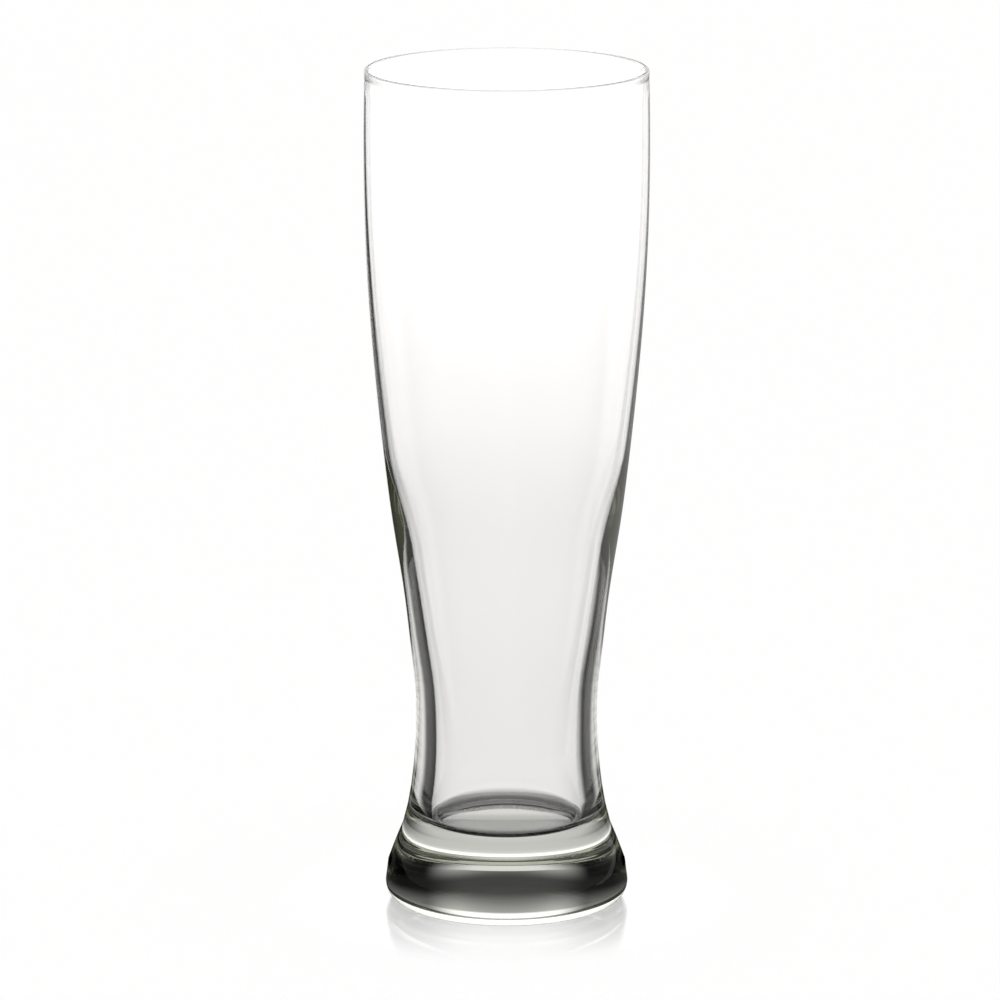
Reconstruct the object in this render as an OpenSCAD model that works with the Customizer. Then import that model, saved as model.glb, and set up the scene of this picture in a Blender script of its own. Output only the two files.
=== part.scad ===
// Tall footed beer glass: one thick solid foot, a drawn-in waist with a heavy wall,
// a thin flared bowl and a fire-polished lip. Millimetres, standing on z = 0,
// axis of revolution on z. Each zone of the glass is one closed solid.

/* [Overall] */
// Height of the whole glass
glass_h = 235; // [220:1:300]

/* [Foot] */
// Outer radius of the foot at its widest
foot_r = 34; // [31.5:0.5:42]
// Height of the widest ring of the foot
foot_z = 5; // [3:0.5:9]
// Outer radius of the flat ring that the glass stands on
bearing_r = 29.6; // [28:0.2:31]
// Width of the flat ring that the glass stands on
ring_w = 1.6; // [1:0.1:8]
// Depth of the hollow in the underside
punt_h = 1.2; // [0.4:0.1:6]
// Thickness of solid glass from the table to the floor of the cup
floor_z = 22.2; // [18:0.1:27]
// Radius of the corner between the floor and the wall of the cup
corner_r = 3; // [1.5:0.5:6]

/* [Outline] */
// Outer radius of the shoulder above the foot
shoulder_r = 27.9; // [27:0.1:30]
// Height of the shoulder above the foot
shoulder_z = 26; // [22:1:30]
// Outer radius of the waist
waist_r = 25.35; // [23.5:0.05:26.5]
// Height of the waist
waist_z = 54; // [48:1:60]
// Outer radius of the lower flank
flank_r = 27.6; // [26.5:0.1:29]
// Height of the lower flank
flank_z = 80; // [74:1:86]
// Outer radius of the upper flank
hip_r = 33; // [31:0.1:34.5]
// Height of the upper flank
hip_z = 118; // [112:1:126]
// Outer radius of the belly
belly_r = 39.2; // [37:0.1:42]
// Height of the belly
belly_z = 200; // [185:1:210]
// Amount by which the bowl draws in again from the belly to the lip
rim_in = 0.3; // [0:0.05:2]

/* [Wall] */
// Wall thickness beside the floor of the cup
wall_base = 6.5; // [4.5:0.1:8]
// Wall thickness at the waist
wall_waist = 5.25; // [4:0.05:7]
// Wall thickness at the lower flank
wall_flank = 4.3; // [3:0.1:5.5]
// Wall thickness at the step, the end of the heavy wall
wall_step = 3.65; // [2.5:0.05:5]
// Height of the step, the end of the heavy wall
step_z = 99; // [93:1:105]
// Height over which the wall thins from heavy to light above the step
step_h = 28; // [12:1:36]
// Wall thickness above the step
wall_bowl = 1.45; // [1.1:0.05:2.4]
// Wall thickness at the belly
wall_belly = 0.95; // [0.8:0.05:2.2]
// Wall thickness under the lip
wall_rim = 0.95; // [0.8:0.05:1.8]

/* [Lip] */
// Height of the lip
lip_h = 2.4; // [1.8:0.1:8]
// Radius of the rounded edge of the lip
bead_r = 0.6; // [0.45:0.05:1]
// Amount by which the rounded edge stands out from the bowl
bead_out = 0.12; // [0:0.02:0.4]

/* [Hidden] */
// Straight pieces in each run of an outline
heel_steps = 8;
punt_steps = 8;
foot_steps = 14;
corner_steps = 6;
waist_steps = 22;
bowl_steps = 28;
lip_steps = 4;
bead_steps = 12;
round_faces = 96;

// Heights where one zone meets the next
cup_z = floor_z + corner_r;
lip_z = glass_h - lip_h;
// Radius of the hollow in the underside
punt_r = bearing_r - ring_w;
// Outer radius of the bowl under the lip
rim_r = belly_r - rim_in;
// Centre of the rounded edge
bead_z = glass_h - bead_r;
bead_c = rim_r + bead_out - bead_r;

// Stations of the outer outline, each a height and a radius. The first mirrors the
// shoulder below the foot, so that the outline leaves the widest ring upright.
OUTLINE = [
    [2 * foot_z - shoulder_z, shoulder_r],
    [foot_z, foot_r],
    [shoulder_z, shoulder_r],
    [waist_z, waist_r],
    [flank_z, flank_r],
    [hip_z, hip_r],
    [belly_z, belly_r],
    [glass_h, rim_r]
];
// Stations of the wall, each a height and a thickness measured level
WALL = [
    [cup_z, wall_base],
    [waist_z, wall_waist],
    [flank_z, wall_flank],
    [step_z, wall_step],
    [step_z + step_h, wall_bowl],
    [belly_z, wall_belly],
    [lip_z, wall_rim]
];

// Share of the way from a to b
function share(z, a, b) = (z - a) / (b - a);
// Share that leaves 0 and reaches 1 gently
function eased(u) = u * u * (3 - 2 * u);
function mix(a, b, u) = a + (b - a) * u;
// Even heights from a to b
function levels(a, b, steps) = [for (i = [0 : steps]) mix(a, b, i / steps)];

// Parabola through the stations a, b and c
function parabola(a, b, c, z) =
    a[1] * (z - b[0]) * (z - c[0]) / ((a[0] - b[0]) * (a[0] - c[0])) +
    b[1] * (z - a[0]) * (z - c[0]) / ((b[0] - a[0]) * (b[0] - c[0])) +
    c[1] * (z - a[0]) * (z - b[0]) / ((c[0] - a[0]) * (c[0] - b[0]));

// Outline through stations s: two neighbouring parabolas, one easing into the other
function outline(s, z, i = 1) =
    i + 2 < len(s) && z > s[i + 1][0] ? outline(s, z, i + 1) :
    let (
        here = parabola(s[i - 1], s[i], s[i + 1], z),
        next = i + 2 < len(s) ? parabola(s[i], s[i + 1], s[i + 2], z) : here
    )
    mix(here, next, eased(share(z, s[i][0], s[i + 1][0])));

// Slope of the straight line from station i to the next
function pitch(s, i) = (s[i + 1][1] - s[i][1]) / (s[i + 1][0] - s[i][0]);
// Slope at station i that never overshoots its neighbours
function lean(s, i) =
    i == 0 ? pitch(s, 0) :
    i == len(s) - 1 ? pitch(s, i - 1) :
    pitch(s, i - 1) * pitch(s, i) <= 0 ? 0 :
    2 * pitch(s, i - 1) * pitch(s, i) / (pitch(s, i - 1) + pitch(s, i));

// Thickness through stations s, which rises and falls only where they do
function taper(s, z, i = 0) =
    i + 2 < len(s) && z > s[i + 1][0] ? taper(s, z, i + 1) :
    let (
        h = s[i + 1][0] - s[i][0],
        u = share(z, s[i][0], s[i + 1][0])
    )
    mix(s[i][1], s[i + 1][1], eased(u)) +
    h * u * (1 - u) * ((1 - u) * lean(s, i) - u * lean(s, i + 1));

function outer_r(z) = outline(OUTLINE, z);
function inner_r(z) = outer_r(z) - taper(WALL, z);

function outer_side(zs) = [for (z = zs) [outer_r(z), z]];
function inner_side(zs) = [for (z = zs) [inner_r(z), z]];

module turned(points) {
    rotate_extrude($fn = round_faces) polygon(points);
}

// Underside, from the axis out to the flat ring
function punt() = [
    for (i = [0 : punt_steps])
    let (u = i / punt_steps)
    [punt_r * u, punt_h * (1 - u * u)]
];

// Rounded heel, from the flat ring up to the widest ring
function heel() = [
    for (i = [0 : heel_steps])
    let (a = 90 * i / heel_steps)
    [mix(bearing_r, foot_r, sin(a)), foot_z * (1 - cos(a))]
];

// Corner of the cup, from the wall down to the floor
function cup_corner() = [
    for (i = [0 : corner_steps])
    let (a = 90 * i / corner_steps)
    [inner_r(cup_z) - corner_r * (1 - cos(a)), cup_z - corner_r * sin(a)]
];

// Solid foot with the floor of the cup on top
module foot() {
    color([0.74, 0.8, 0.76])
        turned(concat(
            punt(),
            heel(),
            outer_side([for (z = levels(foot_z, cup_z, foot_steps)) if (z > foot_z) z]),
            cup_corner(),
            [[0, floor_z]]
        ));
}

// Drawn-in waist with the heavy wall
module waist() {
    color([0.84, 0.88, 0.86])
        turned(concat(
            outer_side(levels(cup_z, step_z, waist_steps)),
            inner_side(levels(step_z, cup_z, waist_steps))
        ));
}

// Flared bowl with the light wall
module bowl() {
    color([0.92, 0.94, 0.93])
        turned(concat(
            outer_side(levels(step_z, lip_z, bowl_steps)),
            inner_side(levels(lip_z, step_z, bowl_steps))
        ));
}

// Side of the lip, which eases from radius r at its foot to the side of the bead
function lip_side(r, side_r, us) = [
    for (u = us) [mix(r, side_r, eased(u)), mix(lip_z, bead_z, u)]
];

// Rounded edge, from the outside over the top to the inside
function bead() = [
    for (i = [1 : bead_steps - 1])
    let (a = 180 * i / bead_steps)
    [bead_c + bead_r * cos(a), bead_z + bead_r * sin(a)]
];

// Lip with its rounded, slightly proud edge
module rim() {
    color([0.8, 0.84, 0.82])
        turned(concat(
            lip_side(outer_r(lip_z), bead_c + bead_r, levels(0, 1, lip_steps)),
            bead(),
            lip_side(inner_r(lip_z), bead_c - bead_r, levels(1, 0, lip_steps))
        ));
}

foot();
waist();
bowl();
rim();
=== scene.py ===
"""Tall footed beer glass in clear glass, on a pale floor before a white ground.

The glass is one turned skin round one solid body: its profile is worked out from
the part's own sizes and carried once round the axis. Metres, axis on z, standing
on z = 0. The camera looks along +Y.
"""
import math

import bpy
import numpy as np
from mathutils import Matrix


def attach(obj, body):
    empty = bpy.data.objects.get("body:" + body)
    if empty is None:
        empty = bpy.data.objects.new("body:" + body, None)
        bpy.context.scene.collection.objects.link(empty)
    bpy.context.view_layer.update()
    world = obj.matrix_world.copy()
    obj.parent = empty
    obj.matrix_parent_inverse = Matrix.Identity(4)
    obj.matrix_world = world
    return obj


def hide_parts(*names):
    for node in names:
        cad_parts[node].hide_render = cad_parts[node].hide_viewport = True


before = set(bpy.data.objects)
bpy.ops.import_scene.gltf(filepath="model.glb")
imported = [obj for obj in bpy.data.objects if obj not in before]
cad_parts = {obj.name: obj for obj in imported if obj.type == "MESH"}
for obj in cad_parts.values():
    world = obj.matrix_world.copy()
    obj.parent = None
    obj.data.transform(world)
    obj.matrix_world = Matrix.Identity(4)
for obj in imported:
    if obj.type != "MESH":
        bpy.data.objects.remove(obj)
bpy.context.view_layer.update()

MM = 0.001

# Sizes of the glass in millimetres, as in the part
GLASS_H = 235.0
FOOT_R, FOOT_Z = 34.0, 5.0
BEARING_R, RING_W, PUNT_H = 29.6, 1.6, 1.2
FLOOR_Z, CORNER_R = 22.2, 3.0
SHOULDER = (26.0, 27.9)
WAIST = (54.0, 25.35)
FLANK = (80.0, 27.6)
HIP = (118.0, 33.0)
BELLY = (200.0, 39.2)
RIM_IN = 0.3
WALL_BASE, WALL_WAIST, WALL_FLANK, WALL_STEP = 6.5, 5.25, 4.3, 3.65
STEP_Z, STEP_H = 99.0, 28.0
WALL_BOWL, WALL_BELLY, WALL_RIM = 1.45, 0.95, 0.95
LIP_H, BEAD_R, BEAD_OUT = 2.4, 0.6, 0.12

# Sizes that follow from them
CUP_Z = FLOOR_Z + CORNER_R
LIP_Z = GLASS_H - LIP_H
PUNT_R = BEARING_R - RING_W
RIM_R = BELLY[1] - RIM_IN
BEAD_Z = GLASS_H - BEAD_R
BEAD_C = RIM_R + BEAD_OUT - BEAD_R

# Stations of the outer outline, each a height and a radius. The first mirrors the
# shoulder below the foot, so that the outline leaves the widest ring upright.
OUTLINE = np.array([
    (2 * FOOT_Z - SHOULDER[0], SHOULDER[1]),
    (FOOT_Z, FOOT_R),
    SHOULDER, WAIST, FLANK, HIP, BELLY,
    (GLASS_H, RIM_R),
])
# Stations of the wall, each a height and a thickness measured level
WALL = np.array([
    (CUP_Z, WALL_BASE),
    (WAIST[0], WALL_WAIST),
    (FLANK[0], WALL_FLANK),
    (STEP_Z, WALL_STEP),
    (STEP_Z + STEP_H, WALL_BOWL),
    (BELLY[0], WALL_BELLY),
    (LIP_Z, WALL_RIM),
])

# Steps round the glass and along each run of its profile
ROUND_STEPS = 640
PUNT_STEPS, HEEL_STEPS, SIDE_STEPS = 12, 11, 42
LIP_STEPS, BEAD_STEPS, INSIDE_STEPS = 4, 11, 44
CORNER_STEPS, CUP_STEPS = 11, 4


def eased(u):
    """A share from 0 to 1 that leaves 0 and reaches 1 gently: 3 u^2 - 2 u^3."""
    return u * u * (3 - 2 * u)


def parabola(a, b, c, z):
    """Parabola at heights z through stations a, b and c, each a height and a radius:
    the sum of each radius times the two gaps to the other heights, over those gaps."""
    return (a[1] * (z - b[0]) * (z - c[0]) / ((a[0] - b[0]) * (a[0] - c[0]))
            + b[1] * (z - a[0]) * (z - c[0]) / ((b[0] - a[0]) * (b[0] - c[0]))
            + c[1] * (z - a[0]) * (z - b[0]) / ((c[0] - a[0]) * (c[0] - b[0])))


def outer_r(z):
    """Outer radius at heights z. Between two stations the parabola through them and
    the one below eases into the parabola through them and the one above."""
    s, n = OUTLINE, len(OUTLINE)
    k = np.clip(np.searchsorted(s[:, 0], z) - 1, 1, n - 2)
    j = np.minimum(k, n - 3)
    here = parabola(s[k - 1].T, s[k].T, s[k + 1].T, z)
    above = parabola(s[j].T, s[j + 1].T, s[j + 2].T, z)
    u = (z - s[k, 0]) / (s[k + 1, 0] - s[k, 0])
    return here + (above - here) * eased(u)


def wall(z):
    """Wall thickness at heights z: cubics through the stations whose slopes are the
    harmonic means of the slopes on both sides, so that they never overshoot."""
    s, h = WALL, np.diff(WALL[:, 0])
    pitch = np.diff(s[:, 1]) / h
    both = pitch[:-1] * pitch[1:]
    lean = np.concatenate([pitch[:1], 2 * both / (pitch[:-1] + pitch[1:]), pitch[-1:]])
    k = np.clip(np.searchsorted(s[:, 0], z) - 1, 0, len(h) - 1)
    u = (z - s[k, 0]) / h[k]
    straight = s[k, 1] + (s[k + 1, 1] - s[k, 1]) * eased(u)
    return straight + h[k] * u * (1 - u) * ((1 - u) * lean[k] - u * lean[k + 1])


def inner_r(z):
    """Inner radius at heights z: the outer radius less the wall."""
    return outer_r(z) - wall(z)


def run(r, z):
    """A run of profile points from arrays or numbers of radius and height."""
    return np.stack(np.broadcast_arrays(r, z), 1)


def punt_run():
    """Hollow underside from the axis out: height is its depth times (1 - u^2)."""
    u = np.linspace(0, 1, PUNT_STEPS + 1)
    return run(PUNT_R * u, PUNT_H * (1 - u * u))


def heel_run():
    """Rounded heel from the flat ring to the widest ring: a quarter of an ellipse."""
    a = np.linspace(0, math.pi / 2, HEEL_STEPS + 1)
    return run(BEARING_R + (FOOT_R - BEARING_R) * np.sin(a), FOOT_Z * (1 - np.cos(a)))


def side_run():
    """Outside from above the widest ring up to the lip."""
    z = np.linspace(FOOT_Z, LIP_Z, SIDE_STEPS + 1)[1:]
    return run(outer_r(z), z)


def lip_run(start_r, side_r):
    """One side of the lip, from its foot up: it eases from radius start_r to side_r."""
    u = np.linspace(0, 1, LIP_STEPS + 1)[1:]
    return run(start_r + (side_r - start_r) * eased(u), LIP_Z + (BEAD_Z - LIP_Z) * u)


def bead_run():
    """Rounded edge of the lip, from outside over the top: half a circle."""
    a = np.linspace(0, math.pi, BEAD_STEPS + 1)[1:-1]
    return run(BEAD_C + BEAD_R * np.cos(a), BEAD_Z + BEAD_R * np.sin(a))


def inside_run():
    """Inside from under the lip down to the corner of the cup."""
    z = np.linspace(LIP_Z, CUP_Z, INSIDE_STEPS + 1)
    return run(inner_r(z), z)


def corner_run():
    """Corner of the cup from the wall down to the floor: a quarter of a circle."""
    a = np.linspace(0, math.pi / 2, CORNER_STEPS + 1)[1:]
    r = inner_r(np.array([CUP_Z]))
    return run(r - CORNER_R * (1 - np.cos(a)), CUP_Z - CORNER_R * np.sin(a))


def glass_profile():
    """The whole profile in millimetres, from the middle of the underside, out, up,
    over the lip and down inside to the middle of the cup's floor."""
    lip_z = np.array([LIP_Z])
    corner = corner_run()
    floor_r = corner[-1, 0] * np.linspace(1, 0, CUP_STEPS + 1)[1:]
    return np.concatenate([
        punt_run(),
        heel_run(),
        side_run(),
        lip_run(outer_r(lip_z), BEAD_C + BEAD_R),
        bead_run(),
        lip_run(inner_r(lip_z), BEAD_C - BEAD_R)[::-1],
        inside_run(),
        corner,
        run(floor_r, FLOOR_Z),
    ])


def turned(name, profile):
    """A closed skin from a profile that starts and ends on the axis: each point at
    radius r and height z becomes a ring (r cos a, r sin a, z), its ends one pole."""
    ring, n = profile[1:-1] * MM, ROUND_STEPS
    a = np.arange(n) * (2 * math.pi / n)
    points = np.stack([
        ring[:, :1] * np.cos(a),
        ring[:, :1] * np.sin(a),
        ring[:, 1:] * np.ones(n),
    ], -1).reshape(-1, 3)
    poles = np.array([(0, 0, profile[0, 1]), (0, 0, profile[-1, 1])]) * MM
    low, high = len(points), len(points) + 1
    row, here = np.arange(len(ring) - 1)[:, None] * n, np.arange(n)[None]
    after = (here + 1) % n
    quads = np.stack([row + here, row + after, row + n + after, row + n + here], -1)
    last = (len(ring) - 1) * n
    cap_low = np.stack([np.full(n, low), after[0], here[0]], -1)
    cap_high = np.stack([np.full(n, high), last + here[0], last + after[0]], -1)
    mesh = bpy.data.meshes.new(name)
    mesh.from_pydata(
        np.concatenate([points, poles]).tolist(), [],
        quads.reshape(-1, 4).tolist() + cap_low.tolist() + cap_high.tolist(),
    )
    mesh.shade_smooth()
    made = bpy.data.objects.new(name, mesh)
    bpy.context.scene.collection.objects.link(made)
    return made


class Value:
    """A socket in the tree being built. Operators on it add Math nodes."""

    tree = None

    def __init__(self, socket):
        self.socket = socket

    @classmethod
    def node(cls, kind, settings=None, **values):
        """Adds a node: its settings first, then the value or link of each socket,
        named with _ for a space, or by number as n0, n1 and on."""
        made = cls.tree.nodes.new(kind)
        for key, value in (settings or {}).items():
            setattr(made, key, value)
        for key, value in values.items():
            numbered = key[0] == "n" and key[1:].isdigit()
            socket = made.inputs[int(key[1:]) if numbered else key.replace("_", " ")]
            if isinstance(value, Value):
                cls.tree.links.new(value.socket, socket)
            else:
                socket.default_value = value
        return made

    @classmethod
    def math(cls, operation, *values):
        """Adds a Math node."""
        numbered = {f"n{i}": value for i, value in enumerate(values)}
        made = cls.node("ShaderNodeMath", {"operation": operation}, **numbered)
        return cls(made.outputs[0])

    def __add__(self, other):
        return Value.math("ADD", self, other)

    __radd__ = __add__

    def __mul__(self, other):
        return Value.math("MULTIPLY", self, other)

    __rmul__ = __mul__

    def __sub__(self, other):
        return Value.math("SUBTRACT", self, other)

    def __rsub__(self, other):
        return Value.math("SUBTRACT", other, self)

    def __abs__(self):
        return Value.math("ABSOLUTE", self)


def new_tree(owner):
    """Clears the owner's node tree and makes it the one being built."""
    owner.use_nodes = True
    owner.node_tree.nodes.clear()
    Value.tree = owner.node_tree


def ramp(value, slope):
    """Eases over a slope: its start and end, and the levels before and after it."""
    start, end, before, after = slope
    return Value(Value.node(
        "ShaderNodeMapRange", {"interpolation_type": "SMOOTHSTEP"},
        n0=value, n1=start, n2=end, n3=before, n4=after,
    ).outputs[0])


def between(share, a, b):
    """a where share is 0 and b where it is 1."""
    return a + (b - a) * share


def place_in(coordinates):
    """The place in the named coordinates, and then its x, y and z."""
    place = Value(Value.node("ShaderNodeTexCoord").outputs[coordinates])
    parts = Value.node("ShaderNodeSeparateXYZ", Vector=place).outputs
    return place, Value(parts[0]), Value(parts[1]), Value(parts[2])


def from_axis(x, y):
    """Distance from the axis of the glass."""
    return Value.math("SQRT", x * x + y * y)


def noise(place, scale, detail):
    """Soft noise, about 0.5 on average."""
    return Value(Value.node(
        "ShaderNodeTexNoise", Vector=place, Scale=scale, Detail=detail,
    ).outputs[0])


# The glass
GLASS_INDEX = 1.52
# To the metre, (1 - colour) * density of the light is taken up
DEPTH_COLOUR, DEPTH_DENSITY = (0.965, 0.98, 0.9, 1), 12.0
WAVE_SCALE, WAVE_HEIGHT = 28.0, 0.00001
SCRATCH_SCALE, SCRATCH_DETAIL = 900.0, 3.0
# Roughness by the noise of the scratches
SCRATCHES = (0.35, 0.65, 0.05, 0.3)
# Soft edges of the ring that it stands on, out from the axis and up from the table
RING_EDGE = ((PUNT_R - 0.3) * MM, (PUNT_R + 0.3) * MM, 0, 1)
RING_TOP = (0.1 * MM, 0.4 * MM, 1, 0)


def clear_glass():
    """Clear soda glass: faint green in its depth, a skin with the slightest waves,
    and a ring of fine scratches where the glass stands."""
    material = bpy.data.materials.new("clear_glass")
    new_tree(material)
    place, x, y, z = place_in("Object")
    ring = ramp(from_axis(x, y), RING_EDGE) * ramp(z, RING_TOP)
    scratches = noise(place, SCRATCH_SCALE, SCRATCH_DETAIL)
    waves = noise(place, WAVE_SCALE, 0.0)
    bump = Value.node("ShaderNodeBump", Strength=1.0, Distance=WAVE_HEIGHT, Height=waves)
    skin = Value.node(
        "ShaderNodeBsdfPrincipled",
        Base_Color=(1, 1, 1, 1),
        Roughness=ring * ramp(scratches, SCRATCHES),
        IOR=GLASS_INDEX,
        Normal=Value(bump.outputs[0]),
        Transmission_Weight=1.0,
    )
    depth = Value.node(
        "ShaderNodeVolumeAbsorption", Color=DEPTH_COLOUR, Density=DEPTH_DENSITY,
    )
    Value.node(
        "ShaderNodeOutputMaterial",
        Surface=Value(skin.outputs[0]), Volume=Value(depth.outputs[0]),
    )
    return material


glass = turned("beer_glass", glass_profile())
glass.data.materials.append(clear_glass())
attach(glass, "root")
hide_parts("foot", "waist", "bowl", "rim")

# The camera at the photograph's place: how far in front, how high, how far tilted down
CAMERA_FRONT, CAMERA_UP, CAMERA_DOWN = 1.618, 0.483, 12.844
CAMERA_LENS, CAMERA_SHIFT = 215.2, -0.00665

camera = bpy.data.objects.new("camera", bpy.data.cameras.new("camera"))
bpy.context.scene.collection.objects.link(camera)
camera.location = (0, -CAMERA_FRONT, CAMERA_UP)
camera.rotation_euler = (math.radians(90 - CAMERA_DOWN), 0, 0)
camera.data.lens = CAMERA_LENS
camera.data.shift_x = CAMERA_SHIFT
bpy.context.scene.camera = camera

# The studio is white where it is seen straight on. The numbers below shape what the
# glass mirrors. Each row of four is a slope: the start and end of a soft edge and the
# levels before and after it. Level 1 is white.
DEGREES = 180 / math.pi
WHITE, WARM_WHITE = (1, 1, 1, 1), (1, 0.987, 0.982)

# By a count of turns: one or more of them, or none
SOME, NONE = (0, 0.9, 0, 1), (0, 0.9, 1, 0)
# By a count of turns: the level of the sky seen directly and through the glass
SKY_THROUGH = (0, 0.9, 1, 1.35)
# By a count of mirrorings: light that ran round inside the wall mixes to one level,
# which fades where it ran longer still
MIXING = (5, 9, 0, 1)
FADING = (11, 20, 0.634, 0.08)

# The sky, by degrees above the floor
HORIZON = (0, 10, 0, 1)
BACKDROP_TOP = (11.4, 16.9, 1.3, 0.052)
BAND_TOP = (18, 20.7, 0, 1)
OVERHEAD_EDGE = (39.8, 46.2, 0, 1)
# The sky, by degrees away from the middle of the backdrop
DIM_SIDE = (31.4, 38.4, 0.041, 0.012)
BACKDROP_SIDE = (13.1, 31.1, 1, 0.165)
GLOW_SIDE = (9.6, 33.5, 0.758, 0)
SKIN_SIDE = (15.5, 44.5, 1.45, 0.119)
# Level of the soft light overhead
OVERHEAD = 0.69

# Painted light and shade on the floor's glow, by degrees away from the middle of the
# backdrop
SHEET_SIDE = (39.6, 50.2, 1, 0.706)
SHEET_BACK = (63, 83, 1, 0.122)
BESIDE_SIDE = (33.1, 38.1, 1.097, 0)
AWAY_LEFT = (12.6, 17.8, 0.772, 0)
AWAY_RIGHT = (85.3, 89, 0.305, 0)
# Painted light and shade on the floor's glow, and its polish, by metres from the axis
SHEET_REACH = (0.001, 1.406, 0.924, 1.381)
FOOT_SHADE = (0.0308, 0.0704, 0.495, 1)
UNDER_EDGE = (0.0109, 0.0357, 1, 0)
UNDER_END = (0.0357, 0.0431, 0, 1)
BESIDE_START = (0.141, 0.187, 0, 1)
BESIDE_END = (0.229, 0.279, 0, 1)
POLISH_EDGE = (0.03, 0.07, 1, 0)
# Painted light under the glass by metres from front to back, and the polish by metres to
# either side
UNDER_FRONT = (-0.012, 0.0205, 0, 0.479)
POLISH_MIDDLE = (0.006, 0.03, 0.08, 0.38)
# Half the floor's width, its matt share, how much lighter its painted glow is seen
# straight and how rough its polish is
FLOOR_HALF, MATT_SHARE, FLOOR_THROUGH, POLISH_ROUGHNESS = 4, 0.3, 1.03, 0.03

# The dark cards, painted shade on the floor's glow that only the glass mirrors: the scale
# and the power of each edge, on the left and on the right, their soft edges inside and
# outside, and how dark they are
PAINTED_CARD_INNER = ((0.231, 0.484), (0.164, 0.518))
PAINTED_CARD_OUTER = ((0.454, 0.31), (0.344, 0.375))
PAINTED_CARD_START, PAINTED_CARD_END = (-0.0225, 0.0225, 0, 1), (-0.0225, 0.0225, 1, 0)
PAINTED_CARD_DARK = 0.944


def heading(x, y):
    """Degrees away from the middle of the backdrop, to either side."""
    return abs(Value.math("ARCTAN2", x, y) * DEGREES)


def light_path():
    """The kinds and counts of a ray's turns, by name."""
    return {o.name: Value(o) for o in Value.node("ShaderNodeLightPath").outputs}


def first_bounce(path):
    """1 for light mirrored by the outside of the glass, 0 for light from within it."""
    return ramp(path["Glossy Depth"], SOME) * ramp(path["Transmission Depth"], NONE)


def straight(path):
    """1 for what is seen directly or straight through the glass, 0 if mirrored."""
    return ramp(path["Glossy Depth"], NONE)


def blended(path, light):
    """Light that ran round inside the wall many times has mixed to one even level,
    and fades where it ran longer still."""
    count = path["Glossy Depth"]
    return between(ramp(count, MIXING), light, ramp(count, FADING))


def shown(path, light):
    """The light as a colour, white with the slightest warmth. The camera sees white."""
    warm = Value.node(
        "ShaderNodeVectorMath", {"operation": "SCALE"}, n0=WARM_WHITE, Scale=light,
    )
    return Value(Value.node(
        "ShaderNodeMix", {"data_type": "RGBA"},
        n0=path["Is Camera Ray"], n6=Value(warm.outputs[0]), n7=WHITE,
    ).outputs[2])


def mirrored_sky(turn, rise):
    """From the floor up: almost black, a lit backdrop behind the glass, a dark band,
    a glow behind the glass and one wide soft light overhead."""
    dim = ramp(turn, DIM_SIDE)
    backdrop = ramp(rise, BACKDROP_TOP) * ramp(turn, BACKDROP_SIDE)
    light = between(ramp(rise, HORIZON), dim, backdrop)
    light = between(ramp(rise, BAND_TOP), light, ramp(turn, GLOW_SIDE))
    return between(ramp(rise, OVERHEAD_EDGE), light, OVERHEAD)


def studio_world():
    """The sky: plain white, but for what the glass mirrors of it."""
    world = bpy.data.worlds.new("studio")
    bpy.context.scene.world = world
    new_tree(world)
    _, x, y, z = place_in("Generated")
    turn = heading(x, y)
    rise = Value.math("ARCSINE", z) * DEGREES
    path = light_path()
    on_skin = ramp(turn, SKIN_SIDE)
    light = between(first_bounce(path), mirrored_sky(turn, rise), on_skin)
    through = ramp(path["Transmission Depth"], SKY_THROUGH)
    light = between(straight(path), blended(path, light), through)
    ground = Value.node("ShaderNodeBackground", Color=shown(path, light))
    Value.node("ShaderNodeOutputWorld", Surface=Value(ground.outputs[0]))


def painted_card_edge(across, along, right, edge):
    """How far a place lies outside an edge that runs scale * along^power from the
    middle, with its own scale and power on the left and on the right."""
    (left_scale, left_power), (right_scale, right_power) = edge
    power = between(right, left_power, right_power)
    scale = between(right, left_scale, right_scale)
    return across - Value.math("POWER", along, power) * scale


def painted_dark_card(across, along, right):
    """1 on a painted dark card on the floor's glow, between its two edges, and 0 beside
    it.
    """
    past_inner = ramp(painted_card_edge(across, along, right, PAINTED_CARD_INNER), PAINTED_CARD_START)
    return past_inner * ramp(painted_card_edge(across, along, right, PAINTED_CARD_OUTER), PAINTED_CARD_END)


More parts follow.
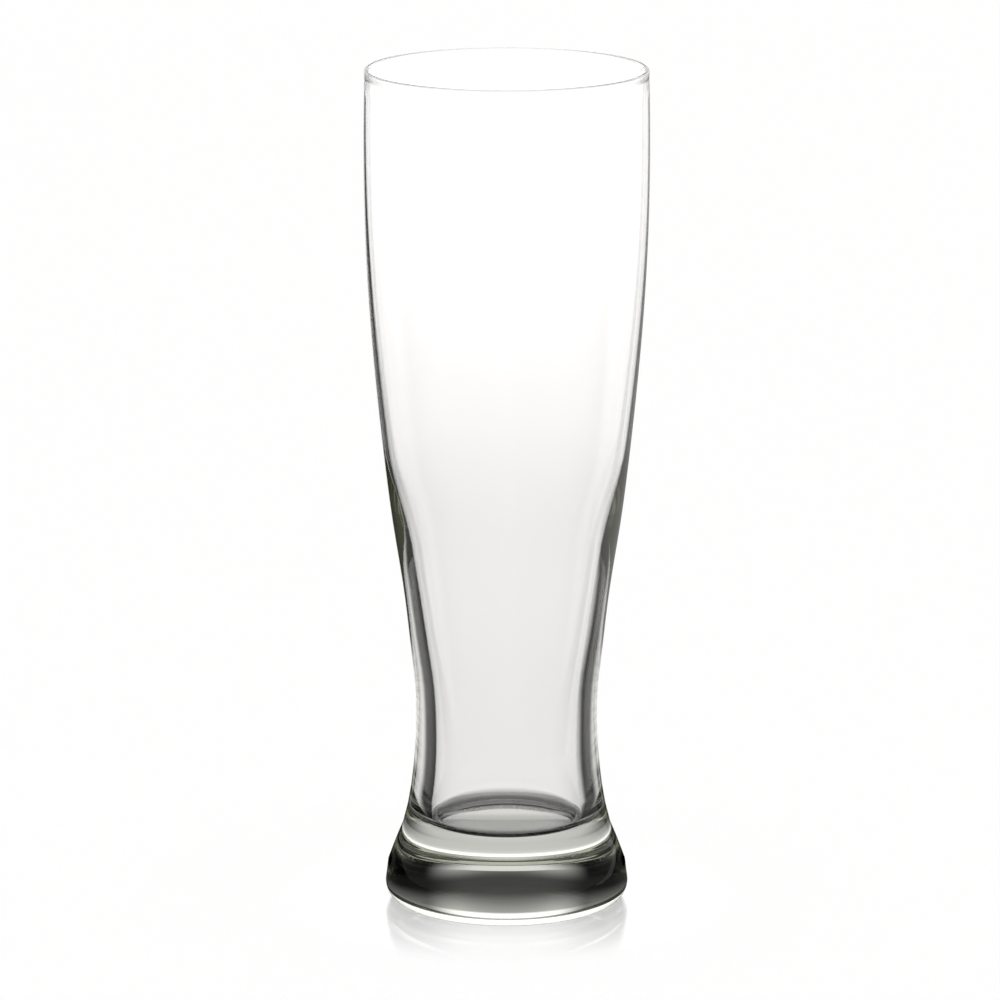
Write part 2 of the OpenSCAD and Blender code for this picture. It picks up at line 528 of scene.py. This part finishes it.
def floor_light(path, x, y):
    """What the glass shows of the floor, all painted light and shade on its glow: a white
    sheet, brighter further off and darker away from the backdrop, mirrored between two
    painted dark cards, with painted shade at the foot and painted light under the glass,
    and painted light for what its outside mirrors beside it and away."""
    off, turn = from_axis(x, y), heading(x, y)
    right = Value.math("GREATER_THAN", x, 0.0)
    # Painted light on the floor's glow: brighter further off, darker to the sides and
    # darker still away from the backdrop
    sheet = ramp(off, SHEET_REACH)
    ends = ramp(turn, SHEET_SIDE) * ramp(turn, SHEET_BACK)
    # Painted shade: dark cards on the floor's glow, mirrored by the glass as dark edges
    mirrored = sheet * ends * (1 - painted_dark_card(abs(x), abs(y), right) * PAINTED_CARD_DARK)
    light = between(straight(path), mirrored, sheet * FLOOR_THROUGH)
    light = light * ramp(off, FOOT_SHADE)
    # Painted light on the floor under the glass: none at its front and more towards its
    # back
    under = ramp(y, UNDER_FRONT) * ramp(off, UNDER_EDGE)
    light = blended(path, between(ramp(off, UNDER_END), under, light))
    # Painted light for what the outside of the glass mirrors, beside the glass and away
    # from it
    beside = ramp(turn, BESIDE_SIDE) * ramp(off, BESIDE_START)
    away = between(right, ramp(turn, AWAY_LEFT), ramp(turn, AWAY_RIGHT))
    on_skin = between(ramp(off, BESIDE_END), beside, away)
    return between(first_bounce(path), light, on_skin)


def studio_floor():
    """A pale floor, polished where the glass stands and most at its left and right. Its
    glow, white to the camera, is painted with light and shade where the glass shows it.
    """
    h = FLOOR_HALF
    mesh = bpy.data.meshes.new("floor")
    mesh.from_pydata([(-h, -h, 0), (h, -h, 0), (h, h, 0), (-h, h, 0)], [], [(0, 1, 2, 3)])
    floor = bpy.data.objects.new("floor", mesh)
    bpy.context.scene.collection.objects.link(floor)
    material = bpy.data.materials.new("pale_floor")
    mesh.materials.append(material)
    new_tree(material)
    _, x, y, _ = place_in("Object")
    path = light_path()
    direct = path["Is Camera Ray"]
    polish = ramp(from_axis(x, y), POLISH_EDGE) * ramp(abs(x), POLISH_MIDDLE)
    # The floor's glow: white to the camera, painted light and shade where the glass shows
    # it
    lit = Value.node("ShaderNodeEmission", Color=shown(path, floor_light(path, x, y)))
    matt = Value.node("ShaderNodeBsdfDiffuse", Color=WHITE)
    gloss = Value.node("ShaderNodeBsdfGlossy", Roughness=POLISH_ROUGHNESS)
    pale = Value.node(
        "ShaderNodeMixShader",
        n0=direct * MATT_SHARE, n1=Value(lit.outputs[0]), n2=Value(matt.outputs[0]),
    )
    polished = Value.node(
        "ShaderNodeMixShader",
        n0=direct * polish, n1=Value(pale.outputs[0]), n2=Value(gloss.outputs[0]),
    )
    Value.node("ShaderNodeOutputMaterial", Surface=Value(polished.outputs[0]))


studio_world()
studio_floor()

# How often light may turn: often enough to run down the whole wall
TURNS, MOST_TURNS = 56, 64

scene = bpy.context.scene
scene.view_settings.view_transform = "Standard"
scene.cycles.max_bounces = MOST_TURNS
scene.cycles.glossy_bounces = TURNS
scene.cycles.transmission_bounces = TURNS
scene.cycles.sample_clamp_indirect = 0
scene.cycles.blur_glossy = 0
